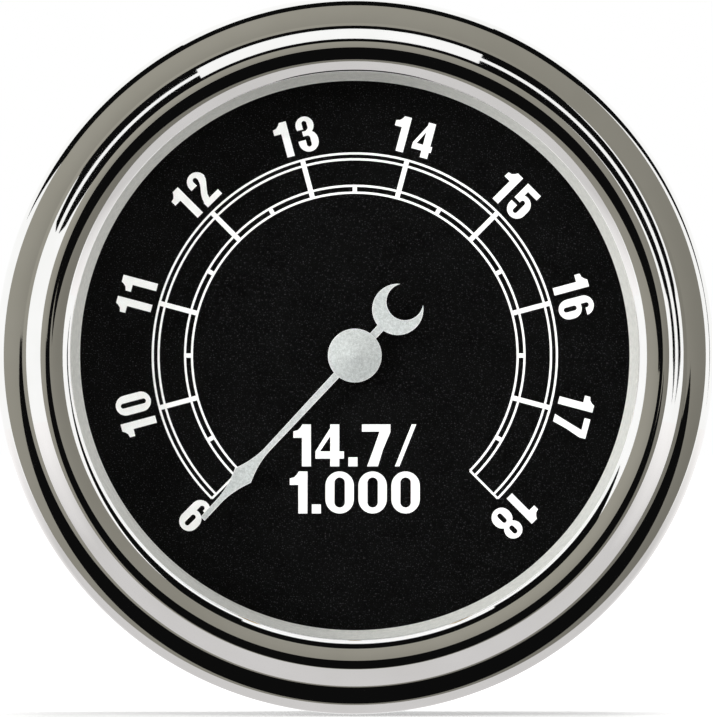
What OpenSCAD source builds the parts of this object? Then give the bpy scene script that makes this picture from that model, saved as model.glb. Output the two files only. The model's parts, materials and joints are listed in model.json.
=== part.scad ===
// Air fuel ratio gauge with a crossed-coil movement, for a round hole in a panel.
// The dial faces -Y and its top is +Z. The origin is the middle of the bezel's rear face,
// which seats on the panel.
// Each sub-part is drawn with +Z toward the viewer and z = 0 at the seat, and in_panel turns it into place.

/* [Bezel] */
// Outside diameter of the bezel
bezel_d = 73; // [71:0.5:80]
// Width of the bezel's rim, from its outside to the window
rim_w = 7.6; // [7.2:0.1:9]
// How far the bezel reaches past the case's barrel
bezel_cover = 3.5; // [3.4:0.05:3.7]
// Thickness of the bezel's sheet metal
bezel_sheet = 0.6; // [0.4:0.05:0.8]
// Radius of the outer roll
outer_roll_r = 3; // [2.6:0.1:3.4]
// Height of the outer roll's crest above the glass face
roll_rise = 2.4; // [2:0.1:2.8]
// Height of the inner step's crest above the outer roll's crest
step_h = 3; // [2.6:0.1:3.4]
// Distance from the window's edge to the inner step's crest
crest_inset = 2.36; // [2.2:0.02:2.5]
// Radius of the inner step's crest
crest_round_r = 1.3; // [1:0.05:1.5]
// Slope of the inner step toward the window, in degrees
window_slope_deg = 52; // [48:1:55]
// Slope of the inner step toward the outer roll, in degrees
step_slope_deg = 58; // [55:1:62]

/* [Glass and inner ring] */
// Thickness of the glass
glass_t = 2; // [1.5:0.1:2.5]
// Gap between the glass edge and the bezel's inner wall
glass_gap = 1.3; // [0.8:0.1:1.8]
// Thickness of the lens seal
seal_t = 0.8; // [0.5:0.1:1.2]
// Width of the lens seal
seal_w = 3.6; // [2.8:0.1:3.8]
// How far the reveal ring leans in from the window to the dial
ring_lean = 0.9; // [0.7:0.1:2.4]
// Thickness of the reveal ring's metal
ring_t = 0.6; // [0.4:0.05:0.8]
// Width of the reveal ring's flat foot on the dial
ring_foot_w = 1.4; // [1.1:0.1:1.8]

/* [Dial] */
// Depth of the dial's face behind the panel's face
dial_depth = 3.2; // [2.6:0.1:4]
// Thickness of the dial plate
dial_t = 0.8; // [0.6:0.1:1]
// How far the dial plate runs under the reveal ring's foot
dial_tuck = 0.6; // [0.4:0.1:0.9]
// Diameter of the hole for the shaft
dial_bore_d = 3; // [2.4:0.1:3.6]
// Thickness of the printed marks
print_t = 0.06; // [0.05:0.01:0.12]
// Width of the scale, from its innermost line to its outermost
scale_w = 4; // [3.6:0.1:5]
// Distance between the two inner scale lines
inner_lines_w = 0.7; // [0.5:0.05:1]
// Distance between the two outer scale lines
outer_lines_w = 0.6; // [0.5:0.05:1]
// Width of a scale line
line_w = 0.22; // [0.15:0.01:0.3]
// Width of a major tick
major_w = 0.5; // [0.35:0.05:0.7]
// Width of a minor tick
minor_w = 0.45; // [0.3:0.05:0.6]
// Lowest number on the dial
first_number = 9; // [1:1:9]
// Number of numbered steps on the dial
steps = 9; // [6:1:9]
// Distance from the outermost scale line to the numerals' feet
numeral_rise = 0.65; // [0.5:0.05:1.2]
// Distance from the numerals' tops to the reveal ring
numeral_inset = 3.11; // [2:0.01:3.6]
// Height of the numerals
numeral_h = 3.64; // [3:0.02:3.8]
// Width of a numeral
numeral_w = 2.04; // [1.8:0.02:2.2]
// Width of a numeral's upright strokes
numeral_stem = 0.77; // [0.5:0.01:0.8]
// Gap between two numerals
numeral_gap = 0.72; // [0.5:0.02:0.9]
// Height of the legend's figures
legend_h = 4.28; // [3.4:0.02:4.5]
// Width of a legend figure
legend_w = 2.9; // [2.4:0.02:3.1]
// Width of a legend figure's upright strokes
legend_stem = 0.92; // [0.6:0.02:1]
// Distance of the upper legend line's foot below the middle
legend_drop = 11.3; // [11:0.1:12]
// Distance between the feet of the two legend lines
legend_pitch = 4.8; // [4.7:0.05:5]

/* [Pointer] */
// How far the pointer reaches past the outermost scale line
pointer_past = 2.15; // [0.4:0.05:3.4]
// Thickness of the pointer blade
blade_t = 0.4; // [0.3:0.05:0.5]
// Height of the pointer blade above the dial
blade_rise = 1.8; // [1.4:0.1:2]
// Width of the pointer beside the hub
blade_root_w = 0.78; // [0.6:0.02:1]
// Width of the pointer at its tip
blade_tip_w = 0.58; // [0.4:0.02:0.7]
// Distance of the flare's widest point outside the innermost scale line
flare_past = 0.1; // [-1.5:0.1:0.8]
// Width of the flare
flare_w = 2.2; // [1.6:0.05:2.6]
// Length of each half of the flare
flare_l = 3.6; // [3:0.1:4.4]
// Width of the tail's neck
neck_w = 0.82; // [0.6:0.02:1]
// Distance of the crescent's outer circle from the axis
crescent_at = 6.42; // [6:0.02:7]
// Radius of the crescent's outer circle
crescent_r = 2.61; // [2.4:0.01:2.8]
// Radius of the circle cut out of the crescent
crescent_cut_r = 1.88; // [1.7:0.01:2]
// Distance from the crescent's outer circle to the one cut out of it
crescent_offset = 1.06; // [0.95:0.01:1.15]
// Diameter of the hub cap
cap_d = 5.48; // [5:0.02:6]
// Height of the hub cap's rim
cap_rim_h = 0.35; // [0.25:0.05:0.5]
// Height of the hub cap's cone
cap_cone_h = 0.95; // [0.7:0.05:1.1]
// Diameter of the shaft
shaft_d = 1.2; // [1:0.05:1.4]

/* [Movement] */
// Height of the movement from the board to the shield can's top
movement_h = 20.5; // [19.6:0.1:21.5]
// Width across the bobbin block
bobbin_w = 16; // [15.6:0.2:17]
// Height of the bobbin block
bobbin_h = 12; // [11.4:0.2:12.6]
// Thickness of the wound wire on the bobbin
coil_t = 1.4; // [1:0.05:1.45]
// Gap between a winding and the bobbin's posts
coil_side_gap = 0.1; // [0.05:0.05:0.8]
// Width of the slot between the half windings
slot_w = 2.8; // [2.7:0.05:3]
// Gap between the rotor magnet and its chamber's wall
chamber_gap = 0.8; // [0.5:0.1:1.4]
// Thickness of the rotor magnet
magnet_t = 5.2; // [4.6:0.1:5.8]
// Gap between the bobbin's corners and the shield can
shield_gap = 0.69; // [0.4:0.05:1.2]
// Thickness of the shield can's metal
shield_t = 0.7; // [0.5:0.05:0.9]
// Space between the shield can and the dial for the stops
stop_space = 1.9; // [1.6:0.1:2.4]
// Angle that the pointer rests below the first mark
rest_below_deg = 2; // [1:0.1:2.4]
// Angle that the pointer can pass the last mark
run_past_deg = 1.2; // [0.6:0.1:2]

/* [Circuit board] */
// Gap between the board's edge and the reflector sleeve
board_gap = 0.6; // [0.3:0.1:1.8]
// Thickness of the circuit board
board_t = 1.6; // [1.2:0.1:2]
// Distance of the spacers from the board's edge
spacer_inset = 6.3; // [5.3:0.1:7.3]
// Length of a spacer, from the case's rear plate to the board
spacer_l = 9.2; // [8.2:0.1:15]
// Width across the flats of a spacer
spacer_af = 5.5; // [5:0.1:6]
// Diameter of a board screw's thread
board_screw_d = 2.9; // [2.5:0.1:3]

/* [Case] */
// Thickness of the case's sheet metal
case_wall = 0.8; // [0.6:0.05:1]
// Outside radius of the case's rear corner
case_corner_r = 2; // [1.5:0.1:3]
// Thickness of the reflector sleeve
sleeve_t = 1; // [0.8:0.05:1.2]
// Thickness of the shelf that carries the dial
shelf_t = 2.4; // [2:0.1:3]
// Width of that shelf inside the dial's edge
shelf_w = 2.1; // [1.5:0.1:2.6]

/* [Studs and bracket] */
// Distance of the mounting studs from the case's inner wall
stud_inset = 10.2; // [9.7:0.1:11.2]
// Thread diameter of a mounting stud
stud_d = 4; // [3.5:0.1:4.5]
// Length of a stud behind the case
stud_l = 22; // [21:0.5:26]
// Travel of the thumb nuts and the bracket each way
clamp_travel = 4; // [2:0.5:4]
// Distance of the bracket's ends behind the panel's face as stored
foot_gap = 5.5; // [5.5:0.1:6.5]
// Thickness of the bracket's strip
bracket_t = 1.6; // [1.2:0.1:2]
// Width of the bracket's strip
bracket_w = 14; // [12:0.5:14.5]
// Gap between the bracket's legs and the case
leg_gap = 1; // [0.8:0.1:1.2]
// Inside radius of the bracket's bends
bend_r = 1.2; // [0.8:0.1:2]
// Diameter of a thumb nut
thumb_d = 11; // [10:0.5:12]
// Height of a thumb nut
thumb_h = 6; // [5:0.5:6]

/* [Terminals] */
// Width of a terminal blade
blade_terminal_w = 6.3; // [4.8:0.1:6.4]
// Thickness of a terminal blade
blade_terminal_t = 0.8; // [0.5:0.05:1]
// Length of a terminal blade outside its block
blade_terminal_l = 8; // [7:0.1:9]
// Distance between two terminal blades
terminal_pitch = 7.6; // [7:0.1:8]
// Distance of the terminals from the case's inner wall
terminal_inset = 13.2; // [12.6:0.1:13.6]

/* [Lamp] */
// Distance of the lamp from the case's inner wall
lamp_inset = 11.7; // [11.2:0.1:12]
// Diameter of the lamp socket's neck in the case
socket_d = 14; // [13:0.1:14.4]
// Diameter of the lamp socket's flange
socket_flange_d = 19.2; // [18.6:0.1:19.6]
// Diameter of the bulb's glass
bulb_d = 10; // [9:0.1:10.6]
// Length of the bulb's glass above the socket
bulb_l = 17; // [14:0.5:18]

/* [Hidden] */
$fn = 96;

// How far a cutting shape runs past what it cuts
overrun = 1;
// Radial clearance of a running fit
running_gap = 0.05;
// Clearance of pieces that are pressed or laid together
fit_gap = 0.02;
// Clearance of parts that drop into place
loose_gap = 0.15;

// Heights along the axis, from the panel's face toward the viewer
flange_z = bezel_sheet;
seal_z = flange_z + case_wall;
glass_z = seal_z + seal_t;
lip_z = glass_z + glass_t;
roll_crest_z = lip_z + roll_rise;
outer_roll_z = roll_crest_z - outer_roll_r;
step_round_z = roll_crest_z + step_h - crest_round_r;

// Radii of the bezel and the glass
bezel_r = bezel_d / 2;
outer_roll_at = bezel_r - outer_roll_r;
window_r = bezel_r - rim_w;
step_crest_at = window_r + crest_inset;
crest_steps = 14;
roll_steps = 24;
bezel_bore_r = bezel_r - bezel_sheet;
case_r = bezel_r - bezel_cover;
glass_r = bezel_bore_r - glass_gap;
seal_bore_r = glass_r - seal_w;
flange_gap = 0.2;
hem_gap = 0.3;
hem_r = case_r + hem_gap;

// Heights and radii of the dial and what carries it
dial_z = -dial_depth;
dial_back_z = dial_z - dial_t;
dial_view_r = window_r - ring_lean;
dial_r = dial_view_r + dial_tuck;
case_bore_r = case_r - case_wall;
sleeve_gap = 0.3;
sleeve_r = case_bore_r - sleeve_gap;
case_in_corner_r = case_corner_r - case_wall;
shelf_z = dial_back_z - shelf_t;
dial_seat_gap = 0.05;
ring_seat_gap = 0.05;
ring_top_z = glass_z - ring_seat_gap;
ring_flange_gap = 0.1;

// Scale layout, with the first number at the lower left and angles counted anticlockwise from +X
numeral_foot_r = dial_view_r - numeral_inset - numeral_h;
line_4_r = numeral_foot_r - numeral_rise;
line_3_r = line_4_r - outer_lines_w;
line_1_r = line_4_r - scale_w;
line_2_r = line_1_r + inner_lines_w;
first_deg = 225;
scale_deg = 270;
step_deg = scale_deg / steps;
legend_gap = legend_stem * 0.5;
sector_reach = line_4_r * 2;

// Pointer
pointer_l = line_4_r + pointer_past;
flare_r = line_1_r + flare_past;
sweep_deg = scale_deg + rest_below_deg + run_past_deg;
pointer_deg = first_deg + rest_below_deg;
blade_z = dial_z + blade_rise;
blade_top_z = blade_z + blade_t;
shaft_r = shaft_d / 2;
boss_spigot_r = 1.1;
boss_spigot_h = 0.4;
boss_flange_r = 1.9;
boss_flange_h = 1.1;
pad_r = 2.2;
cap_r = cap_d / 2;
cap_tip_r = 0.2;
cap_recess_h = boss_spigot_h + ring_seat_gap;
shaft_top_z = blade_top_z + boss_spigot_h - running_gap;
flare_steps = 8;
flare_power = 1.9;

// Movement, from the shield can's top down to the board
shield_top_z = dial_back_z - stop_space;
board_top_z = shield_top_z - movement_h;
board_back_z = board_top_z - board_t;
case_floor_z = board_back_z - spacer_l;
case_back_z = case_floor_z - case_wall;
shield_roof_z = shield_top_z - shield_t;
post_w = 2.8;
coil_gap = 0.05;
post_gap = 0.3;
post_front_h = 2 * (coil_t + coil_gap) + coil_gap + post_gap;
bobbin_top_z = shield_roof_z - post_front_h;
bobbin_back_z = bobbin_top_z - bobbin_h;
bobbin_mid_z = (bobbin_top_z + bobbin_back_z) / 2;
chamber_wall = 2;
chamber_r = bobbin_w / 2 - chamber_wall;
magnet_r = chamber_r - chamber_gap;
coil_w = bobbin_w / 2 - post_w - slot_w / 2 - coil_side_gap;
bearing_r = slot_w / 2 - running_gap * 2;
bearing_bore_r = shaft_r + running_gap;
front_bearing_drop = 0.4;
rear_bearing_h = 3;
rear_bearing_floor = 1;
shaft_end_gap = 0.1;
return_magnet_r = 1;
return_magnet_l = 4.6;
coil_pin_r = 0.35;
coil_pin_depth = 4;
coil_pin_proud = 1;
post_mid = bobbin_w / 2 - post_w / 2;
shield_in_r = bobbin_w / sqrt(2) + shield_gap;
shield_r = shield_in_r + shield_t;
shield_bore_r = 2;

// Stops between the shield can and the dial
stop_pin_at = 4;
stop_pin_r = 0.5;
stop_pin_gap = 0.3;
stop_pin_h = stop_space - stop_pin_gap;
stop_arm_r = 5;
stop_arm_t = 0.9;
stop_arm_rise = 0.25;
stop_collar_r = 1.5;
stop_free_deg = 0.6;
stop_pin_deg = asin(stop_pin_r / stop_pin_at);
stop_arm_deg = 360 - sweep_deg - 2 * (stop_pin_deg + stop_free_deg);
stop_pin_turn = 270;

// Circuit board and what it carries
board_r = sleeve_r - sleeve_t - board_gap;
spacer_at = board_r - spacer_inset;
spacer_turns = [40, 140, 220, 320];
board_screw_r = board_screw_d / 2;
screw_head_r = 2.6;
screw_head_h = 1.8;
screw_shank_l = 6;
screw_slot_w = 0.7;
screw_slot_h = 0.8;
chip_size = [10.3, 7.5, 2.2];
chip_at = [0, 0];
chip_pins = 8;
chip_pin_pitch = 1.27;
chip_pin_size = [0.42, 1.4, 0.3];
regulator_size = [6.5, 9.6, 2.3];
regulator_tab = [5.2, 2.2, 0.5];
regulator_at = [20.5, 1];
capacitor_r = 3.15;
capacitor_h = 7;
capacitor_groove = 0.3;
capacitor_at = [-20.5, 0];
resistor_size = [3.2, 1.6, 0.6];
resistor_at = [10, 4];
lamp_window_r = bulb_d / 2 + 1;

// Studs, nuts and bracket
stud_at = case_bore_r - stud_inset;
stud_r = stud_d / 2;
stud_end_z = case_back_z - stud_l;
stud_head_af = 7;
stud_head_h = 2.5;
stud_tip = 0.5;
stud_hole_gap = 0.15;
washer_r = 4.5;
washer_t = 0.8;
nut_af = 7;
nut_h = 2.4;
bar_spare = 1.3;
bar_front_z = case_back_z - washer_t - nut_h - clamp_travel - bar_spare;
bar_back_z = bar_front_z - bracket_t;
foot_z = -foot_gap;
leg_in_x = case_r + leg_gap;
leg_out_x = leg_in_x + bracket_t;
bend_out_r = bend_r + bracket_t;
bracket_hole_gap = 0.3;
lock_washer_r = 4.2;
lock_washer_t = 0.9;
lock_slit_w = 0.7;
thumb_r = thumb_d / 2;
thumb_collar_r = 4;
thumb_collar_h = 1.2;
knurls = 30;
knurl_depth = 0.35;
thumb_z = bar_back_z - lock_washer_t;

// Terminal block and blades
terminal_at = case_bore_r - terminal_inset;
block_wall = 0.6;
block_side = 3.4;
block_in = [2 * (terminal_pitch + block_side) + blade_terminal_t, blade_terminal_w + 2 * block_wall];
block_rim = 1.8;
block_flange_t = 2;
block_inside_h = 4;
block_corner_r = 1.2;
terminal_hole_r = 0.8;
terminal_taper = 0.9;
terminal_solder_w = 2.4;

// Lamp socket, turned a part of a turn to lock behind the case's rear plate
lamp_at = case_bore_r - lamp_inset;
socket_r = socket_d / 2;
socket_flange_r = socket_flange_d / 2;
socket_flange_t = 2;
socket_seat_gap = 0.1;
socket_hole_gap = 0.1;
lug_w = 2.6;
lug_r = socket_r + 1.8;
lug_t = 1.3;
lug_gap = 0.25;
lug_notch_gap = 0.3;
lamp_turn_deg = 60;
grip_r = 6.4;
grip_h = 6;
wing_w = 1.8;
wing_r = 8.8;
holder_rise = 6;
bulb_base = [9.4, 2.4, 7];
bulb_base_gap = 0.1;
contact_t = 0.4;
contact_w = 3;
contact_tab_l = 6;
contact_x = 3.1;

// Figure shapes, as shares of a figure's width and height, with x = 0 in its middle
arc_share = 0.66;
flat_share = 0.8;
low_bowl_share = 0.595;
high_bowl_share = 0.51;
high_stem_share = 0.88;
low_end_share = 0.35;
high_end_share = 0.65;
one_flag_share = 0.95;
one_flag_shares = [[1, 0.68], [1, 0.835], [0.5, 0.86], [0.15, 0.93], [-0.05, 1]];
two_bowl_share = 0.63;
two_cut_share = 0.7;
two_out_shares = [[0.5, 0.744], [0.444, 0.628], [0.323, 0.535], [0.12, 0.395], [-0.04, 0.28], [-0.105, 0.16]];
two_in_shares = [[-0.47, 0.03], [-0.484, 0.14], [-0.4, 0.28], [-0.28, 0.395], [-0.08, 0.535], [0.04, 0.628],
    [0.12, 0.744]];
three_stub_share = 0.2;
four_bar_share = 0.185;
four_stem_share = 0.02;
four_top_share = 0.1;
four_eye_share = 0.72;
five_stem_share = 0.46;
five_bowl_share = 0.71;
six_bowl_share = 0.65;
six_end_share = 0.75;
seven_leg_shares = [[0.5, 1], [0.5, 0.82], [0.24, 0.4], [0.06, 0], [-0.32, 0], [-0.1, 0.4]];
seven_bend_share = 0.12;
slash_width_share = 0.75;

module in_panel() rotate([90, 0, 0]) children();

module disc(r, low, high) translate([0, 0, low]) cylinder(r = r, h = high - low);

module tube(r_out, r_in, low, high) {
    difference() {
        disc(r_out, low, high);
        disc(r_in, low - overrun, high + overrun);
    }
}

// A hexagonal prism by its width across the flats
module hex(af, low, high) {
    translate([0, 0, low]) cylinder(r = af / sqrt(3), h = high - low, $fn = 6);
}

module block(size, low, high) {
    translate([-size[0] / 2, -size[1] / 2, low]) cube([size[0], size[1], high - low]);
}

// The place of a piece at a radius and an angle, or at a pair of coordinates
module at_turn(r, deg) rotate([0, 0, deg]) translate([r, 0, 0]) children();
module at_xy(place) translate([place[0], place[1], 0]) children();
module at_studs() {
    for (side = [-1, 1]) {
        translate([side * stud_at, 0, 0]) children();
    }
}

// Bezel

// Points of a section's round stretch, between two slopes of its surface, down toward the outside
function round_points(at, z, r, first, last, count) = [for (i = [0:count])
    let (slope = first + (last - first) * i / count) [at + r * sin(slope), z + r * cos(slope)]];

function crest_points(grow) = round_points(step_crest_at, step_round_z, crest_round_r + grow,
    -window_slope_deg, step_slope_deg, crest_steps);

// How far the step's outer side is from the middle of the outer roll
function side_offset(grow) = (step_crest_at - outer_roll_at) * sin(step_slope_deg)
    + (step_round_z - outer_roll_z) * cos(step_slope_deg) + crest_round_r + grow;

// The outer roll's points, from the step's foot to the outside
function roll_points(grow) = round_points(outer_roll_at, outer_roll_z, outer_roll_r + grow,
    step_slope_deg - acos(side_offset(grow) / (outer_roll_r + grow)), 90, roll_steps);

// Half of the bezel's outer skin, as a filled section
module bezel_skin(grow) {
    crest = crest_points(grow);
    bore_r = window_r - grow;
    polygon(concat([[bore_r, lip_z], [bore_r, crest[0][1] - (crest[0][0] - bore_r) * tan(window_slope_deg)]],
        crest, roll_points(grow), [[bezel_r + grow, -grow], [hem_r + grow, -grow], [hem_r + grow, lip_z]]));
}

module bezel_section() {
    difference() {
        bezel_skin(0);
        bezel_skin(-bezel_sheet);
        translate([0, bezel_sheet]) square([bezel_bore_r, lip_z - bezel_sheet]);
    }
}

module bezel() color("gainsboro") in_panel() rotate_extrude() bezel_section();

// Glass, seal and the rings behind the glass

module lens() color([0.8, 0.9, 0.95, 0.3]) in_panel() disc(glass_r, glass_z, lip_z);

module lens_seal() color("dimgray") in_panel() tube(glass_r, seal_bore_r, seal_z, glass_z);

module reveal_section() {
    top_r = window_r + ring_t;
    flange_r = seal_bore_r - ring_flange_gap;
    foot_r = dial_view_r + ring_foot_w;
    polygon([[dial_view_r, dial_z], [foot_r, dial_z], [foot_r, dial_z + ring_t],
        [dial_view_r + ring_t, dial_z + ring_t], [top_r + ring_t, ring_top_z - ring_t],
        [flange_r, ring_top_z - ring_t], [flange_r, ring_top_z], [top_r, ring_top_z]]);
}

module reveal_ring() color("whitesmoke") in_panel() rotate_extrude() reveal_section();

module light_ring() {
    color([0.9, 0.9, 0.85, 0.6]) in_panel() difference() {
        disc(sleeve_r, shelf_z, dial_z);
        disc(dial_r + dial_seat_gap, dial_back_z, dial_z + overrun);
        disc(dial_r - shelf_w, shelf_z - overrun, dial_z);
    }
}

module reflector_sleeve() {
    sleeve_foot_z = case_floor_z + case_in_corner_r / 2;
    color("white") in_panel() tube(sleeve_r, sleeve_r - sleeve_t, sleeve_foot_z, shelf_z);
}

module dial_plate() color([0.03, 0.03, 0.03]) in_panel() tube(dial_r, dial_bore_d / 2, dial_back_z, dial_z);

// Print on the dial

module print() {
    color("white") in_panel() translate([0, 0, dial_z]) linear_extrude(print_t) children();
}

module scale_line(r) {
    difference() {
        circle(r = r + line_w / 2);
        circle(r = r - line_w / 2);
    }
}

// A radial mark, from one radius to another
module tick(deg, from_r, to_r, w) rotate(deg) translate([from_r, -w / 2]) square([to_r - from_r, w]);

module dial_scale() {
    print() {
        difference() {
            union() {
                scale_line(line_1_r);
                scale_line(line_2_r);
                scale_line(line_3_r);
                scale_line(line_4_r);
            }
            polygon([[0, 0], [-sector_reach, -sector_reach], [sector_reach, -sector_reach]]);
        }
        for (end = [first_deg, first_deg - scale_deg]) {
            tick(end, line_1_r, line_4_r, line_w);
        }
        for (i = [1:steps - 1]) {
            tick(first_deg - i * step_deg, line_1_r, line_4_r, major_w);
        }
        for (i = [0:steps - 1]) {
            tick(first_deg - (i + 0.5) * step_deg, line_1_r, line_2_r, minor_w);
        }
    }
}

// An upright oval with round ends, standing on y = 0
module oval(w, h) {
    translate([0, w / 2]) circle(d = w);
    translate([0, h - w / 2]) circle(d = w);
    translate([-w / 2, w / 2]) square([w, h - w]);
}

// A closed loop whose arcs are thinner than its upright strokes
module bowl(w, h, stem) {
    arc = stem * arc_share;
    difference() {
        oval(w, h);
        translate([0, arc]) oval(w - 2 * stem, h - 2 * arc);
    }
}

// Both bowls of an 8, which a 3 shares
module two_bowls(w, h, stem) {
    high = h * high_bowl_share;
    thin_stem = stem * high_stem_share;
    arc = thin_stem * arc_share;
    bowl(w, h * low_bowl_share, stem);
    translate([0, h - high]) difference() {
        translate([0, high / 2]) circle(d = high);
        translate([0, arc]) oval(high - 2 * thin_stem, high - 2 * arc);
    }
}

module figure_one(h, stem) {
    flag = stem * one_flag_share;
    foot_x = (flag - stem) / 2;
    polygon(concat([[foot_x + stem, h], [foot_x + stem, 0], [foot_x, 0], [foot_x, h * one_flag_shares[0][1]]],
        [for (at = one_flag_shares) [foot_x - flag * at[0], h * at[1]]]));
}

module figure_two(w, h, stem) {
    difference() {
        translate([0, h - h * two_bowl_share]) bowl(w, h * two_bowl_share, stem);
        translate([-w, 0]) square([w, h * high_end_share]);
        square([w, h * two_cut_share]);
    }
    polygon([for (at = concat(two_out_shares, two_in_shares)) [w * at[0], h * at[1]]]);
    translate([-w / 2, 0]) square([w, stem * flat_share]);
}

module figure_three(w, h, stem) {
    difference() {
        two_bowls(w, h, stem);
        translate([-w, h * low_end_share]) square([w, h * (high_end_share - low_end_share)]);
    }
    translate([-w * three_stub_share, h * low_bowl_share - stem * arc_share]) {
        square([w * three_stub_share * 2, stem * arc_share]);
    }
}

module figure_four(w, h, stem) {
    stem_x = w * four_stem_share;
    bar_y = h * four_bar_share;
    bar_top = bar_y + stem * flat_share;
    difference() {
        polygon([[-w / 2, bar_y], [w / 2, bar_y], [w / 2, bar_top], [stem_x + stem, bar_top],
            [stem_x + stem, h], [w * four_top_share, h], [-w / 2, bar_top]]);
        polygon([[stem / 2 - w / 2, bar_top], [stem_x, bar_top], [stem_x, h * four_eye_share]]);
    }
    translate([stem_x, 0]) square([stem, h]);
}

module figure_five(w, h, stem) {
    low = h * five_stem_share;
    flat = stem * flat_share;
    difference() {
        bowl(w, h * five_bowl_share, stem);
        translate([-w, h * low_end_share]) square([w, low - h * low_end_share]);
    }
    translate([-w / 2, low]) square([stem * flat_share, h - low]);
    translate([-w / 2, h - flat]) square([w - stem / 4, flat]);
}

module figure_six(w, h, stem) {
    gap_y = h * six_bowl_share - w / 2;
    bowl(w, h * six_bowl_share, stem);
    difference() {
        bowl(w, h, stem);
        translate([0, gap_y]) square([w, h * six_end_share - gap_y]);
    }
}

module figure_seven(w, h, stem) {
    bar_y = h - stem * flat_share;
    polygon(concat([for (at = seven_leg_shares) [w * at[0], h * at[1]]],
        [[w * seven_bend_share, bar_y], [-w / 2, bar_y], [-w / 2, h]]));
}

module figure(n, w, h, stem) {
    if (n == 0) bowl(w, h, stem);
    if (n == 1) figure_one(h, stem);
    if (n == 2) figure_two(w, h, stem);
    if (n == 3) figure_three(w, h, stem);
    if (n == 4) figure_four(w, h, stem);
    if (n == 5) figure_five(w, h, stem);
    if (n == 6) figure_six(w, h, stem);
    if (n == 7) figure_seven(w, h, stem);
    if (n == 8) two_bowls(w, h, stem);
    if (n == 9) translate([0, h]) rotate(180) figure_six(w, h, stem);
}

function figure_w(n, w, stem) = n == 1 ? stem * (1 + one_flag_share) : w;

// A number of one or two figures, centred, standing on y = 0
module number(n) {
    tens = floor(n / 10);
    units = n % 10;
    tens_w = n < 10 ? 0 : figure_w(tens, numeral_w, numeral_stem) + numeral_gap;
    units_w = figure_w(units, numeral_w, numeral_stem);
    total = tens_w + units_w;
    if (n > 9) {
        translate([(tens_w - numeral_gap - total) / 2, 0]) figure(tens, numeral_w, numeral_h, numeral_stem);
    }
    translate([(total - units_w) / 2, 0]) figure(units, numeral_w, numeral_h, numeral_stem);
}

module dial_numerals() {
    print() {
        for (i = [0:steps]) {
            rotate(first_deg - i * step_deg - 90) translate([0, numeral_foot_r]) number(first_number + i);
        }
    }
}

// The legend's lines as figures, where -1 is a point and -2 is a slash
legend_upper = [1, 4, -1, 7, -2];
legend_lower = [1, -1, 0, 0, 0];
slash_w = legend_w * slash_width_share;
function glyph_w(n) = n == -1 ? legend_stem : n == -2 ? slash_w : figure_w(n, legend_w, legend_stem);
function run_w(line, count) = count == 0 ? 0 : run_w(line, count - 1) + glyph_w(line[count - 1]) + legend_gap;

module legend_glyph(n) {
    lean = slash_w / 2;
    thin = legend_stem / 2;
    if (n == -1) {
        translate([-legend_stem / 2, 0]) square(legend_stem);
    } else if (n == -2) {
        polygon([[-lean, 0], [thin - lean, 0], [lean, legend_h], [lean - thin, legend_h]]);
    } else {
        figure(n, legend_w, legend_h, legend_stem);
    }
}

module legend_line(line) {
    total = run_w(line, len(line)) - legend_gap;
    for (i = [0:len(line) - 1]) {
        translate([run_w(line, i) + glyph_w(line[i]) / 2 - total / 2, 0]) legend_glyph(line[i]);
    }
}

module dial_legend() {
    print() {
        translate([0, -legend_drop]) legend_line(legend_upper);
        translate([0, -legend_drop - legend_pitch]) legend_line(legend_lower);
    }
}

// Pointer, drawn along +X and turned to its resting angle

// Half width of the flare at a share of its half length, 0 at the widest point
function flare_half(share) = blade_tip_w / 2 + (flare_w - blade_tip_w) / 2 * pow(1 - share, flare_power);

module pointer_outline() {
    inner = [for (i = [flare_steps:-1:0]) [flare_r - flare_l * i / flare_steps, flare_half(i / flare_steps)]];
    outer = [for (i = [1:flare_steps]) [flare_r + flare_l * i / flare_steps, flare_half(i / flare_steps)]];
    upper = concat([[0, blade_root_w / 2]], inner, outer, [[pointer_l, blade_tip_w / 2]]);
    lower = [for (i = [len(upper) - 1:-1:0]) [upper[i][0], -upper[i][1]]];
    polygon(concat(upper, lower));
}

module tail_outline() {
    reach = crescent_at - crescent_r + (crescent_r + crescent_offset - crescent_cut_r) / 2;
    translate([-reach, -neck_w / 2]) square([reach, neck_w]);
    difference() {
        translate([-crescent_at, 0]) circle(r = crescent_r);
        translate([-crescent_at - crescent_offset, 0]) circle(r = crescent_cut_r);
    }
}

module pointer_blade() {
    color("lightgray") in_panel() rotate([0, 0, pointer_deg]) difference() {
        union() {
            translate([0, 0, blade_z]) linear_extrude(blade_t) pointer_outline();
            translate([0, 0, blade_z]) linear_extrude(blade_t) tail_outline();
            disc(pad_r, blade_z, blade_top_z);
        }
        disc(boss_spigot_r + fit_gap, blade_z - overrun, blade_top_z + overrun);
    }
}

module pointer_boss() {
    color("goldenrod") in_panel() difference() {
        union() {
            disc(boss_flange_r, blade_z - boss_flange_h, blade_z);
            disc(boss_spigot_r, blade_z - boss_flange_h / 2, blade_top_z + boss_spigot_h);
        }
        disc(shaft_r + fit_gap / 2, blade_z - boss_flange_h - overrun, blade_top_z + overrun);
    }
}

module hub_cap() {
    color("silver") in_panel() difference() {
        union() {
            disc(cap_r, blade_top_z, blade_top_z + cap_rim_h);
            translate([0, 0, blade_top_z + cap_rim_h]) cylinder(r1 = cap_r, r2 = cap_tip_r, h = cap_cone_h);
        }
        disc(boss_spigot_r + fit_gap, blade_top_z - overrun, blade_top_z + cap_recess_h);
    }
}

module pointer_shaft() {
    color("silver") in_panel() disc(shaft_r, shaft_foot_z, shaft_top_z);
}

// Movement

rear_bearing_z = bobbin_back_z + chamber_wall;
shaft_foot_z = rear_bearing_z - rear_bearing_h + rear_bearing_floor + shaft_end_gap;

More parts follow.
